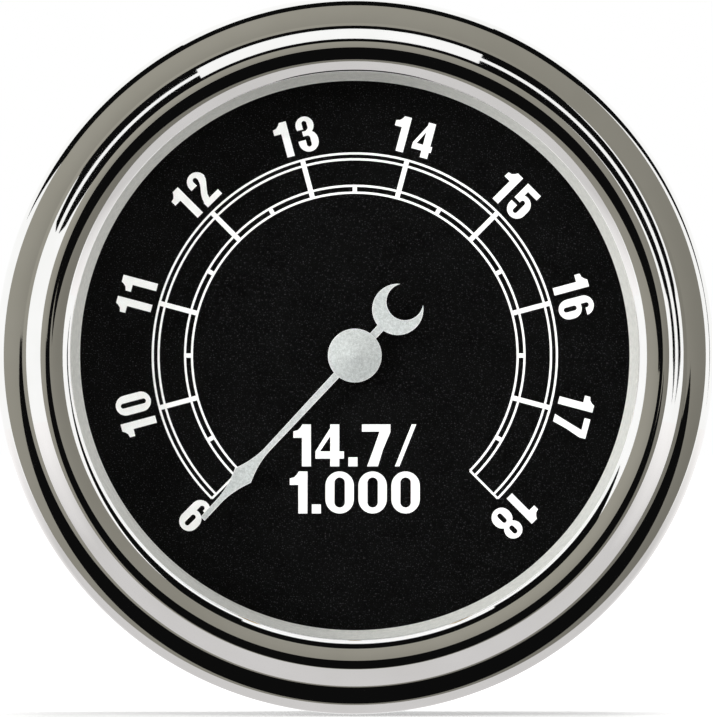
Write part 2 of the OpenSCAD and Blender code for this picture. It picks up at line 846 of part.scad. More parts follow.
module rotor_magnet() {
    color("dimgray") in_panel() {
        tube(magnet_r, shaft_r + fit_gap / 2, bobbin_mid_z - magnet_t / 2, bobbin_mid_z + magnet_t / 2);
    }
}

module stop_collar() {
    low = shield_top_z + stop_arm_rise;
    color("goldenrod") in_panel() difference() {
        union() {
            disc(stop_collar_r, low, low + stop_arm_t);
            rotate([0, 0, pointer_deg - stop_arm_deg / 2]) translate([0, 0, low]) {
                rotate_extrude(angle = stop_arm_deg) square([stop_arm_r, stop_arm_t]);
            }
        }
        disc(shaft_r + fit_gap / 2, low - overrun, low + stop_arm_t + overrun);
    }
}

module stop_pin() {
    color("silver") in_panel() at_turn(stop_pin_at, stop_pin_turn) {
        disc(stop_pin_r, shield_top_z, shield_top_z + stop_pin_h);
    }
}

// The four corner posts of the bobbin, which keep the windings in place
module bobbin_posts(low, high) {
    for (x = [-1, 1]) {
        for (y = [-1, 1]) {
            translate([x * post_mid, y * post_mid, 0]) block([post_w, post_w], low, high);
        }
    }
}

module bobbin_front() {
    color("ivory") in_panel() difference() {
        union() {
            block([bobbin_w, bobbin_w], bobbin_mid_z, bobbin_top_z);
            bobbin_posts(bobbin_mid_z, shield_roof_z);
        }
        disc(chamber_r, bobbin_mid_z - overrun, bobbin_top_z - chamber_wall);
        disc(bearing_r + fit_gap, bobbin_mid_z, bobbin_top_z + overrun);
        translate([post_mid, -post_mid, 0]) {
            disc(return_magnet_r + fit_gap, shield_roof_z - return_magnet_l, shield_roof_z + overrun);
        }
    }
}

module bobbin_rear() {
    color("ivory") in_panel() difference() {
        union() {
            block([bobbin_w, bobbin_w], bobbin_back_z, bobbin_mid_z);
            bobbin_posts(board_top_z, bobbin_mid_z);
        }
        disc(chamber_r, rear_bearing_z, bobbin_mid_z + overrun);
        disc(bearing_r + fit_gap, bobbin_back_z - overrun, bobbin_mid_z);
        coil_pin_places() disc(coil_pin_r + fit_gap, board_top_z - overrun, board_top_z + coil_pin_depth);
    }
}

// A winding of two halves, wound along the axis round a core of the given size
module winding(core_w, low, high) {
    for (side = [-1, 1]) {
        translate([0, side * (slot_w + coil_w) / 2, 0]) difference() {
            block([core_w + 2 * coil_t, coil_w], low - coil_t, high + coil_t);
            block([core_w, coil_w + overrun], low, high);
        }
    }
}

inner_core_w = bobbin_w + 2 * coil_gap;
inner_low_z = bobbin_back_z - coil_gap;
inner_high_z = bobbin_top_z + coil_gap;
outer_low_z = inner_low_z - coil_t - coil_gap;
outer_high_z = inner_high_z + coil_t + coil_gap;

module inner_coil() color("peru") in_panel() winding(inner_core_w, inner_low_z, inner_high_z);

module outer_coil() {
    color("chocolate") in_panel() rotate([0, 0, 90]) winding(inner_core_w, outer_low_z, outer_high_z);
}

module front_bearing() {
    color("goldenrod") in_panel() {
        tube(bearing_r, bearing_bore_r, bobbin_top_z - chamber_wall, shield_roof_z - front_bearing_drop);
    }
}

module rear_bearing() {
    color("goldenrod") in_panel() difference() {
        disc(bearing_r, rear_bearing_z - rear_bearing_h, rear_bearing_z);
        disc(bearing_bore_r, rear_bearing_z - rear_bearing_h + rear_bearing_floor, rear_bearing_z + overrun);
    }
}

module return_magnet() {
    color("gray") in_panel() translate([post_mid, -post_mid, 0]) {
        disc(return_magnet_r, shield_roof_z - return_magnet_l, shield_roof_z);
    }
}

module coil_pin_places() {
    for (x = [-1, 1]) {
        for (y = [-1, 1]) {
            translate([x * post_mid, y * post_mid, 0]) children();
        }
    }
}

module coil_pins() {
    color("gold") in_panel() coil_pin_places() {
        disc(coil_pin_r, board_back_z - coil_pin_proud, board_top_z + coil_pin_depth);
    }
}

module shield_can() {
    color("lightsteelblue") in_panel() difference() {
        disc(shield_r, board_top_z, shield_top_z);
        disc(shield_in_r, board_top_z - overrun, shield_roof_z);
        disc(shield_bore_r, shield_roof_z - overrun, shield_top_z + overrun);
    }
}

// Circuit board

module circuit_board() {
    color("darkgreen") in_panel() difference() {
        disc(board_r, board_back_z, board_top_z);
        translate([0, -lamp_at, 0]) disc(lamp_window_r, board_back_z - overrun, board_top_z + overrun);
        coil_pin_places() disc(coil_pin_r + fit_gap, board_back_z - overrun, board_top_z + overrun);
        for (deg = spacer_turns) {
            at_turn(spacer_at, deg) {
                disc(board_screw_r + loose_gap, board_back_z - overrun, board_top_z + overrun);
            }
        }
    }
}

module driver_chip() {
    low = board_back_z - chip_size[2];
    color([0.1, 0.1, 0.1]) in_panel() at_xy(chip_at) {
        block([chip_size[0], chip_size[1]], low, board_back_z);
        for (i = [0:chip_pins - 1]) {
            x = (i - (chip_pins - 1) / 2) * chip_pin_pitch;
            legs = [chip_pin_size[0], chip_size[1] + 2 * chip_pin_size[1]];
            translate([x, 0, 0]) block(legs, board_back_z - chip_pin_size[2], board_back_z);
        }
    }
}

module regulator() {
    body = [regulator_size[0], regulator_size[1] - regulator_tab[1]];
    tab = [regulator_tab[0], regulator_size[1]];
    color([0.1, 0.1, 0.1]) in_panel() at_xy(regulator_at) {
        block(body, board_top_z, board_top_z + regulator_size[2]);
        block(tab, board_top_z, board_top_z + regulator_tab[2]);
    }
}

module capacitor() {
    groove_z = board_top_z + capacitor_r;
    color("slategray") in_panel() at_xy(capacitor_at) difference() {
        disc(capacitor_r, board_top_z, board_top_z + capacitor_h);
        tube(capacitor_r + overrun, capacitor_r - capacitor_groove, groove_z, groove_z + capacitor_groove);
    }
}

module resistors() {
    color("black") in_panel() {
        for (x = [-1, 1]) {
            for (y = [-1, 1]) {
                at_xy([x * resistor_at[0], y * resistor_at[1]]) {
                    block(resistor_size, board_back_z - resistor_size[2], board_back_z);
                }
            }
        }
    }
}

module board_spacers() {
    color("silver") in_panel() {
        for (deg = spacer_turns) {
            at_turn(spacer_at, deg) difference() {
                hex(spacer_af, case_floor_z, board_back_z);
                disc(board_screw_r + fit_gap, board_back_z - screw_shank_l, board_back_z + overrun);
            }
        }
    }
}

module board_screws() {
    color("silver") in_panel() {
        for (deg = spacer_turns) {
            at_turn(spacer_at, deg) difference() {
                union() {
                    disc(board_screw_r, board_back_z - screw_shank_l, board_top_z + screw_head_h);
                    disc(screw_head_r, board_top_z, board_top_z + screw_head_h);
                }
                block([screw_head_r * 3, screw_slot_w], board_top_z + screw_head_h - screw_slot_h,
                    board_top_z + screw_head_h + overrun);
            }
        }
    }
}

// Case

module rounded_section(r, low, high, corner) {
    translate([0, low + corner]) square([r, high - low - corner]);
    translate([0, low]) square([r - corner, corner]);
    translate([r - corner, low + corner]) circle(r = corner);
}

module case_section() {
    flange_r = bezel_bore_r - flange_gap;
    difference() {
        union() {
            rounded_section(case_r, case_back_z, flange_z, case_corner_r);
            translate([0, flange_z]) square([flange_r, case_wall]);
        }
        rounded_section(case_bore_r, case_floor_z, seal_z + overrun, case_in_corner_r);
    }
}

// The lamp's hole, with the two notches that its lugs drop through
module lamp_hole(low, high) {
    notch_r = lug_r + lug_notch_gap;
    disc(socket_r + socket_hole_gap, low, high);
    rotate([0, 0, -lamp_turn_deg]) intersection() {
        disc(notch_r, low, high);
        block([notch_r * 3, lug_w + 2 * lug_notch_gap], low, high);
    }
}

module case() {
    low = case_back_z - overrun;
    high = case_floor_z + overrun;
    color([0.12, 0.12, 0.12]) in_panel() difference() {
        rotate_extrude() case_section();
        at_studs() disc(stud_r + stud_hole_gap, low, high);
        translate([0, terminal_at, 0]) {
            block([block_in[0] + 2 * loose_gap, block_in[1] + 2 * loose_gap], low, high);
        }
        translate([0, -lamp_at, 0]) lamp_hole(low, high);
    }
}

// Studs and what is on them

module mounting_studs() {
    color("silver") in_panel() at_studs() {
        disc(stud_r, stud_end_z + stud_tip, case_floor_z);
        translate([0, 0, stud_end_z]) cylinder(r1 = stud_r - stud_tip, r2 = stud_r, h = stud_tip);
        hex(stud_head_af, case_floor_z, case_floor_z + stud_head_h);
    }
}

module stud_washers() {
    low = case_back_z - washer_t;
    color("silver") in_panel() at_studs() tube(washer_r, stud_r + loose_gap, low, case_back_z);
}

module stud_nuts() {
    high = case_back_z - washer_t;
    color("silver") in_panel() at_studs() difference() {
        hex(nut_af, high - nut_h, high);
        disc(stud_r + fit_gap, high - nut_h - overrun, high + overrun);
    }
}

// One side of the bracket's strip, seen from above: half the bar, a bend and a leg
module bracket_side() {
    bar_end_x = leg_out_x - bend_out_r;
    leg_low_z = bar_back_z + bend_out_r;
    translate([0, bar_back_z]) square([bar_end_x, bracket_t]);
    intersection() {
        translate([bar_end_x, leg_low_z]) difference() {
            circle(r = bend_out_r);
            circle(r = bend_r);
        }
        translate([bar_end_x, leg_low_z - bend_out_r]) square(bend_out_r);
    }
    translate([leg_in_x, leg_low_z]) square([bracket_t, foot_z - leg_low_z]);
}

module clamp_bracket() {
    color("lightsteelblue") in_panel() difference() {
        translate([0, bracket_w / 2, 0]) rotate([90, 0, 0]) linear_extrude(bracket_w) {
            bracket_side();
            mirror([1, 0]) bracket_side();
        }
        at_studs() disc(stud_r + bracket_hole_gap, bar_back_z - overrun, bar_front_z + overrun);
    }
}

module lock_washers() {
    color("silver") in_panel() at_studs() difference() {
        tube(lock_washer_r, stud_r + loose_gap, thumb_z, bar_back_z);
        translate([0, lock_washer_r / 2, 0]) {
            block([lock_slit_w, lock_washer_r], thumb_z - overrun, bar_back_z + overrun);
        }
    }
}

module thumb_nut() {
    rim_z = thumb_z - thumb_collar_h;
    low = thumb_z - thumb_h;
    difference() {
        union() {
            disc(thumb_collar_r, low, thumb_z);
            disc(thumb_r, low, rim_z);
        }
        disc(stud_r + running_gap, low - overrun, thumb_z + overrun);
        for (i = [0:knurls - 1]) {
            at_turn(thumb_r, i * 360 / knurls) rotate([0, 0, 45]) {
                block([knurl_depth * sqrt(2), knurl_depth * sqrt(2)], low - overrun, rim_z + overrun);
            }
        }
    }
}

module thumb_nut_left() color("darkkhaki") in_panel() translate([-stud_at, 0, 0]) thumb_nut();
module thumb_nut_right() color("darkkhaki") in_panel() translate([stud_at, 0, 0]) thumb_nut();

// Terminals

module terminal_x(i) translate([(i - 1) * terminal_pitch, terminal_at, 0]) children();

// A plate with rounded corners, standing on z = 0
module rounded_plate(size, corner) {
    linear_extrude(block_flange_t) {
        square([size[0] - 2 * corner, size[1]], center = true);
        square([size[0], size[1] - 2 * corner], center = true);
        for (x = [-1, 1]) {
            for (y = [-1, 1]) {
                translate([x * (size[0] / 2 - corner), y * (size[1] / 2 - corner)]) circle(r = corner);
            }
        }
    }
}

module terminal_block() {
    flange = [block_in[0] + 2 * block_rim, block_in[1] + 2 * block_rim];
    slot = [blade_terminal_t + 2 * fit_gap, blade_terminal_w + 2 * fit_gap];
    low = case_back_z - block_flange_t;
    high = case_floor_z + block_inside_h;
    color([0.08, 0.08, 0.08]) in_panel() difference() {
        union() {
            translate([0, terminal_at, low]) rounded_plate(flange, block_corner_r);
            translate([0, terminal_at, 0]) block(block_in, case_back_z - overrun, high);
        }
        for (i = [0:2]) {
            terminal_x(i) block(slot, low - overrun, high + overrun);
        }
    }
}

// A flat tab with a tapered end and a hole, and a narrow foot soldered to the board
module terminal_blade(i) {
    low = case_back_z - block_flange_t - blade_terminal_l;
    mid = case_floor_z + block_inside_h;
    half_w = blade_terminal_w / 2;
    tip_w = half_w - terminal_taper;
    foot_w = terminal_solder_w / 2;
    color("gold") in_panel() terminal_x(i) difference() {
        translate([-blade_terminal_t / 2, 0, 0]) rotate([90, 0, 90]) linear_extrude(blade_terminal_t) {
            polygon([[-tip_w, low], [tip_w, low], [half_w, low + terminal_taper], [half_w, mid],
                [foot_w, mid], [foot_w, board_back_z], [-foot_w, board_back_z], [-foot_w, mid],
                [-half_w, mid], [-half_w, low + terminal_taper]]);
        }
        translate([-overrun, 0, low + blade_terminal_l / 2]) rotate([0, 90, 0]) {
            cylinder(r = terminal_hole_r, h = 2 * overrun);
        }
    }
}

module signal_terminal() terminal_blade(0);
module power_terminal() terminal_blade(1);
module ground_terminal() terminal_blade(2);

// Lamp

socket_seat_z = case_back_z - socket_seat_gap;
socket_back_z = socket_seat_z - socket_flange_t;
grip_back_z = socket_back_z - grip_h;
lug_z = case_floor_z + lug_gap;
holder_top_z = case_floor_z + holder_rise;
bulb_foot_z = holder_top_z - bulb_base[2];

module at_lamp() translate([0, -lamp_at, 0]) children();

module lamp_socket() {
    slot = [bulb_base[0] + 2 * bulb_base_gap, 2 * (contact_y + contact_t / 2 + fit_gap)];
    contact_slot = [contact_w + 2 * bulb_base_gap, contact_t + 2 * fit_gap];
    color([0.15, 0.15, 0.15]) in_panel() at_lamp() difference() {
        union() {
            disc(socket_r, socket_back_z, holder_top_z);
            disc(socket_flange_r, socket_back_z, socket_seat_z);
            disc(grip_r, grip_back_z, socket_back_z + socket_flange_t / 2);
            block([wing_r * 2, wing_w], grip_back_z, socket_back_z + socket_flange_t / 2);
            intersection() {
                disc(lug_r, lug_z, lug_z + lug_t);
                block([lug_r * 3, lug_w], lug_z, lug_z + lug_t);
            }
        }
        block(slot, bulb_foot_z, holder_top_z + overrun);
        for (side = [-1, 1]) {
            translate([side * contact_x, side * contact_y, 0]) {
                block(contact_slot, grip_back_z - overrun, holder_top_z);
            }
        }
    }
}

contact_y = bulb_base[1] / 2 + bulb_base_gap + contact_t / 2;

module lamp_bulb() {
    dome_r = bulb_d / 2;
    color([1, 0.98, 0.9, 0.5]) in_panel() at_lamp() {
        block(bulb_base, bulb_foot_z, holder_top_z + ring_t);
        disc(dome_r, holder_top_z + bulb_base_gap, holder_top_z + bulb_l - dome_r);
        translate([0, 0, holder_top_z + bulb_l - dome_r]) sphere(r = dome_r);
    }
}

module lamp_contacts() {
    color("gold") in_panel() at_lamp() {
        for (side = [-1, 1]) {
            translate([side * contact_x, side * contact_y, 0]) {
                block([contact_w, contact_t], grip_back_z - contact_tab_l, holder_top_z - contact_w / 2);
            }
        }
    }
}

bezel();
lens();
lens_seal();
reveal_ring();
light_ring();
dial_plate();
dial_scale();
dial_numerals();
dial_legend();
pointer_blade();
pointer_boss();
hub_cap();
pointer_shaft();
rotor_magnet();
stop_collar();
stop_pin();
bobbin_front();
bobbin_rear();
inner_coil();
outer_coil();
front_bearing();
rear_bearing();
return_magnet();
coil_pins();
shield_can();
circuit_board();
driver_chip();
regulator();
capacitor();
resistors();
board_spacers();
board_screws();
case();
reflector_sleeve();
mounting_studs();
stud_washers();
stud_nuts();
terminal_block();
signal_terminal();
power_terminal();
ground_terminal();
lamp_socket();
lamp_bulb();
lamp_contacts();
clamp_bracket();
lock_washers();
thumb_nut_left();
thumb_nut_right();
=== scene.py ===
import json
import math

import bpy
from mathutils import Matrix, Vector


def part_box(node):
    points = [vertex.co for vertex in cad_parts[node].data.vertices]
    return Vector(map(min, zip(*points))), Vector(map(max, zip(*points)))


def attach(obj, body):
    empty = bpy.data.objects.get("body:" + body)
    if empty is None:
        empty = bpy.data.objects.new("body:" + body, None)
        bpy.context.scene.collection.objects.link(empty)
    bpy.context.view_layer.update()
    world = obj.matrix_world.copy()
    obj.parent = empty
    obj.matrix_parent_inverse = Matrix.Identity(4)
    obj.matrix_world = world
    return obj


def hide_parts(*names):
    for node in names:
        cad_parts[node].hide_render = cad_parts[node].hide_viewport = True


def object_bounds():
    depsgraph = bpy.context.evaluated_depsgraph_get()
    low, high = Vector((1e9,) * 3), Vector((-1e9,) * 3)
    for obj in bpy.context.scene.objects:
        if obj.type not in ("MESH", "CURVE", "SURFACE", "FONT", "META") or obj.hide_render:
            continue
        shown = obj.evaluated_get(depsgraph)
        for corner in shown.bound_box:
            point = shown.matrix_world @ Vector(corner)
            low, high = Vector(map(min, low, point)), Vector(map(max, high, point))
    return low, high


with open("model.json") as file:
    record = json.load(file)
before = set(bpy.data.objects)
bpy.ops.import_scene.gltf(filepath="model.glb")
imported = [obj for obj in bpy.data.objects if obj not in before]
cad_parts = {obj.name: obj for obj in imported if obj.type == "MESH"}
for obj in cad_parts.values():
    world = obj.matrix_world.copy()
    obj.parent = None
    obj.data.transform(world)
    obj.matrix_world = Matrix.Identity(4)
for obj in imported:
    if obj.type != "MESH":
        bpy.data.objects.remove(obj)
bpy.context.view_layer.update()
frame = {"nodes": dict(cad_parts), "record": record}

# Every length below is in metres unless its name ends in _mm, and MM turns millimetres into metres.
MM = 0.001
NODES = frame["nodes"]
SCENE = bpy.context.scene


# Camera, at the photograph's viewing angle, straight at the dial

IMAGE_W, IMAGE_H = 713, 717
CAMERA_DISTANCE = 3.0
SENSOR = 36.0
# The height of the photograph's frame at the panel seat, and the place of the bezel's middle in it
FRAME_HEIGHT = 73.06 * MM
BEZEL_MIDDLE_PX = (354.8, 355.5)


def make_camera():
    pixel = FRAME_HEIGHT / IMAGE_H
    data = bpy.data.cameras.new("camera")
    data.sensor_fit = "VERTICAL"
    data.sensor_width = SENSOR
    data.sensor_height = SENSOR
    data.lens = SENSOR * CAMERA_DISTANCE / FRAME_HEIGHT
    data.clip_start = 0.05
    data.clip_end = 20
    camera = bpy.data.objects.new("camera", data)
    right = (IMAGE_W / 2 - BEZEL_MIDDLE_PX[0]) * pixel
    up = (BEZEL_MIDDLE_PX[1] - IMAGE_H / 2) * pixel
    camera.location = (right, -CAMERA_DISTANCE, up)
    camera.rotation_euler = (math.radians(90), 0, 0)
    SCENE.collection.objects.link(camera)
    SCENE.camera = camera


# Node helpers

def put(tree, socket, value):
    """A socket's value, or the link that feeds it."""
    if isinstance(value, bpy.types.NodeSocket):
        tree.links.new(value, socket)
    else:
        socket.default_value = value


def add(tree, kind, inputs=None, **settings):
    node = tree.nodes.new("ShaderNode" + kind)
    for name, value in settings.items():
        setattr(node, name, value)
    for name, value in (inputs or {}).items():
        put(tree, node.inputs[name], value)
    return node


def math_node(tree, operation, *values):
    node = add(tree, "Math", operation=operation)
    for i, value in enumerate(values):
        put(tree, node.inputs[i], value)
    return node.outputs[0]


def place(tree):
    """A point's place on its own piece, which moves with the piece."""
    return add(tree, "TexCoord").outputs["Object"]


def stretched(tree, scale):
    """That place with each axis scaled, for grain that runs one way."""
    return add(tree, "Mapping", {"Vector": place(tree), "Scale": scale}).outputs[0]


def noise(tree, size_mm, detail=3.0, vector=None):
    """Noise from 0 to 1 whose marks are about that size."""
    inputs = {"Vector": vector or place(tree), "Scale": 1 / (size_mm * MM), "Detail": detail}
    return add(tree, "TexNoise", inputs).outputs[0]


def spread(tree, value, low, high, from_low=0.3, from_high=0.7):
    """A value from from_low to from_high, moved to low to high."""
    inputs = {"Value": value, "From Min": from_low, "From Max": from_high, "To Min": low, "To Max": high}
    return add(tree, "MapRange", inputs).outputs[0]


def blend(tree, share, low, high):
    """A colour between two, where each is a colour or a link."""
    node = add(tree, "Mix", data_type="RGBA")
    put(tree, node.inputs[0], share)
    for socket, colour in ((node.inputs[6], low), (node.inputs[7], high)):
        put(tree, socket, colour if isinstance(colour, bpy.types.NodeSocket) else (*colour, 1))
    return node.outputs[2]


def bump(tree, height, depth_mm, normal=None):
    inputs = {"Height": height, "Distance": depth_mm * MM, "Strength": 1.0}
    if normal:
        inputs["Normal"] = normal
    return add(tree, "Bump", inputs).outputs[0]


def edges(tree, radius_mm):
    """A mask that is 1 along a piece's sharp edges, where wear shows, and where the pointer's painted
    highlight goes.
    """
    soft = add(tree, "Bevel", {"Radius": radius_mm * MM}, samples=4).outputs[0]
    hard = add(tree, "NewGeometry").outputs["Normal"]
    flat = add(tree, "VectorMath", {0: soft, 1: hard}, operation="DOT_PRODUCT").outputs["Value"]
    return spread(tree, flat, 1.0, 0.0, 0.8, 0.97)


def srgb(*levels):
    """A colour written as the eight bit levels that a picture shows."""
    return tuple(((v / 255 + 0.055) / 1.055) ** 2.4 if v > 10 else v / 255 / 12.92 for v in levels)


def new_material(name):
    material = bpy.data.materials.new(name)
    material.use_nodes = True
    return material, material.node_tree, material.node_tree.nodes["Principled BSDF"]


def finish(name, colour, other, metallic=0.0, rough=(0.4, 0.5), mottle_mm=4.0, grain_mm=0.3,
           depth_mm=0.004, wear=None, wear_mm=0.15, coat=0.0, stretch=None):
    """A finish that most pieces use: two close colours in soft mottling, and a fine grain that roughens and
    dents the surface. Wear is the colour below, which shows at the edges."""
    material, tree, shader = new_material(name)
    soft = noise(tree, mottle_mm, 4.0)
    fine = noise(tree, grain_mm, 2.0, stretched(tree, stretch) if stretch else None)
    tone = blend(tree, spread(tree, soft, 0.0, 1.0), colour, other)
    shader.inputs["Metallic"].default_value = metallic
    if wear:
        worn = math_node(tree, "MULTIPLY", edges(tree, wear_mm), spread(tree, fine, 0.2, 1.0))
        tone = blend(tree, worn, tone, wear)
    put(tree, shader.inputs["Base Color"], tone)
    put(tree, shader.inputs["Roughness"], spread(tree, fine, *rough))
    put(tree, shader.inputs["Normal"], bump(tree, fine, depth_mm))
    if coat:
        shader.inputs["Coat Weight"].default_value = coat
        shader.inputs["Coat Roughness"].default_value = 0.08
    return material


# Finishes

def chrome_plate():
    """Polished plating, with faint wiping marks in its gloss."""
    material, tree, shader = new_material("chrome_plate")
    smears = noise(tree, 6.0, 5.0)
    specks = noise(tree, 0.25, 2.0)
    tone = blend(tree, spread(tree, smears, 0.0, 1.0), srgb(244, 244, 242), srgb(250, 250, 249))
    shader.inputs["Metallic"].default_value = 1.0
    put(tree, shader.inputs["Base Color"], tone)
    put(tree, shader.inputs["Roughness"], spread(tree, smears, 0.02, 0.06))
    put(tree, shader.inputs["Normal"], bump(tree, specks, 0.00006))
    return material


def clear_glass():
    """Flat glass that lets lamp light through to the dial, with a trace of smears."""
    material, tree, shader = new_material("clear_glass")
    smears = noise(tree, 9.0, 5.0)
    shader.inputs["Transmission Weight"].default_value = 1.0
    shader.inputs["IOR"].default_value = 1.5
    put(tree, shader.inputs["Base Color"], blend(tree, smears, srgb(252, 254, 253), srgb(255, 255, 255)))
    put(tree, shader.inputs["Roughness"], spread(tree, smears, 0.0, 0.012))
    return let_light_through(material, tree, shader)


def let_light_through(material, tree, shader):
    rays = add(tree, "LightPath")
    passed = math_node(tree, "ADD", rays.outputs["Is Shadow Ray"], rays.outputs["Is Diffuse Ray"])
    passed = math_node(tree, "ADD", passed, rays.outputs["Is Glossy Ray"])
    clear = add(tree, "BsdfTransparent").outputs[0]
    mixed = add(tree, "MixShader", {0: math_node(tree, "MINIMUM", passed, 1.0)})
    tree.links.new(shader.outputs[0], mixed.inputs[1])
    tree.links.new(clear, mixed.inputs[2])
    tree.links.new(mixed.outputs[0], tree.nodes["Material Output"].inputs["Surface"])
    return material


def bright_ring():
    """Satin metal, turned on a lathe, so its grain runs round the ring."""
    material, tree, shader = new_material("bright_ring")
    flat = add(tree, "SeparateXYZ", {0: place(tree)})
    turned = add(tree, "CombineXYZ", {"X": flat.outputs["Y"]}).outputs[0]
    lines = noise(tree, 0.06, 2.0, turned)
    patches = noise(tree, 0.5, 3.0)
    tone = blend(tree, spread(tree, patches, 0.0, 1.0), srgb(208, 209, 204), srgb(226, 226, 221))
    shader.inputs["Metallic"].default_value = 0.35
    put(tree, shader.inputs["Base Color"], tone)
    put(tree, shader.inputs["Roughness"], spread(tree, patches, 0.34, 0.5))
    put(tree, shader.inputs["Normal"], bump(tree, lines, 0.002, bump(tree, patches, 0.004)))
    return material


def dial_black():
    """Matt black paint with the fine sparkle of its pigment."""
    material, tree, shader = new_material("dial_black")
    specks = noise(tree, 0.14, 1.0)
    clouds = noise(tree, 2.5, 2.0)
    deep = blend(tree, spread(tree, clouds, 0.0, 1.0), srgb(3, 3, 3), srgb(6, 6, 6))
    tone = blend(tree, spread(tree, specks, 0.0, 1.0, 0.6, 0.8), deep, srgb(66, 66, 68))
    put(tree, shader.inputs["Base Color"], tone)
    put(tree, shader.inputs["Roughness"], spread(tree, specks, 0.72, 0.9))
    put(tree, shader.inputs["Normal"], bump(tree, specks, 0.003))
    shader.inputs["Specular IOR Level"].default_value = 0.1
    return material


def pointer_silver():
    """Silver paint with a coarse sparkle and a fine grain, and a painted highlight along its edges, which
    are white and less metallic.
    """
    material, tree, shader = new_material("pointer_silver")
    grain = noise(tree, 0.13, 2.0)
    flakes = noise(tree, 0.3, 1.0)
    fine = math_node(tree, "MULTIPLY", grain, 0.6)
    coarse = math_node(tree, "MULTIPLY", flakes, 0.4)
    mixed = math_node(tree, "ADD", fine, coarse)
    tone = blend(tree, spread(tree, mixed, 0.0, 1.0, 0.36, 0.64), srgb(176, 180, 179), srgb(206, 210, 209))
    # Painted highlight: along the edges the colour is painted white and the metal is taken out, for the
    # light the edges catch
    edge_highlight = edges(tree, 0.13)
    put(tree, shader.inputs["Base Color"], blend(tree, edge_highlight, tone, srgb(255, 255, 255)))
    put(tree, shader.inputs["Metallic"], spread(tree, edge_highlight, 0.3, 0.0, 0.0, 1.0))
    put(tree, shader.inputs["Roughness"], spread(tree, grain, 0.36, 0.5))
    put(tree, shader.inputs["Normal"], bump(tree, mixed, 0.015))
    return material


def enamelled_wire():
    """Copper wire in red enamel, wound in close turns that lie across the pieces' depth."""
    material, tree, shader = new_material("enamelled_wire")
    turns = add(tree, "TexWave", {"Vector": place(tree), "Scale": 1 / (0.18 * MM) / 20, "Distortion": 0.6},
                wave_type="BANDS", bands_direction="DIAGONAL", wave_profile="SIN").outputs[1]
    tone = blend(tree, turns, srgb(96, 38, 16), srgb(196, 96, 48))
    shader.inputs["Metallic"].default_value = 0.6
    put(tree, shader.inputs["Base Color"], tone)
    put(tree, shader.inputs["Roughness"], spread(tree, noise(tree, 1.2), 0.25, 0.4))
    put(tree, shader.inputs["Normal"], bump(tree, turns, 0.05))
    return material


def board_green():
    """Solder mask over copper tracks that show as a lighter green."""
    material, tree, shader = new_material("board_green")
    cells = add(tree, "TexBrick", {"Vector": stretched(tree, (1, 0.01, 1)), "Scale": 1 / (8 * MM),
                                   "Mortar Size": 0.02, "Mortar Smooth": 0.1}).outputs["Fac"]
    soft = noise(tree, 5.0)
    mask = blend(tree, spread(tree, soft, 0.0, 1.0), srgb(12, 66, 34), srgb(16, 78, 42))
    tone = blend(tree, cells, mask, srgb(44, 118, 66))
    put(tree, shader.inputs["Base Color"], tone)
    put(tree, shader.inputs["Roughness"], spread(tree, soft, 0.25, 0.38))
    put(tree, shader.inputs["Normal"], bump(tree, cells, 0.03))
    return material


def bulb_glass():
    material, tree, shader = new_material("bulb_glass")
    streaks = noise(tree, 3.0, 4.0, stretched(tree, (1, 0.2, 1)))
    shader.inputs["Transmission Weight"].default_value = 1.0
    shader.inputs["IOR"].default_value = 1.45
    put(tree, shader.inputs["Base Color"], blend(tree, streaks, srgb(250, 246, 232), srgb(255, 253, 246)))
    put(tree, shader.inputs["Roughness"], spread(tree, streaks, 0.0, 0.03))
    return material


def clear_plastic():
    """Moulded clear plastic, a little milky where light runs through it."""
    material, tree, shader = new_material("clear_plastic")
    flow = noise(tree, 3.0, 3.0)
    shader.inputs["Transmission Weight"].default_value = 0.6
    shader.inputs["IOR"].default_value = 1.49
    put(tree, shader.inputs["Base Color"], blend(tree, flow, srgb(236, 238, 232), srgb(248, 249, 245)))
    put(tree, shader.inputs["Roughness"], spread(tree, flow, 0.18, 0.32))
    put(tree, shader.inputs["Normal"], bump(tree, flow, 0.01))
    return material


DETAILED_FINISHES = (chrome_plate, clear_glass, bright_ring, dial_black, pointer_silver, enamelled_wire,
                     board_green, bulb_glass, clear_plastic)

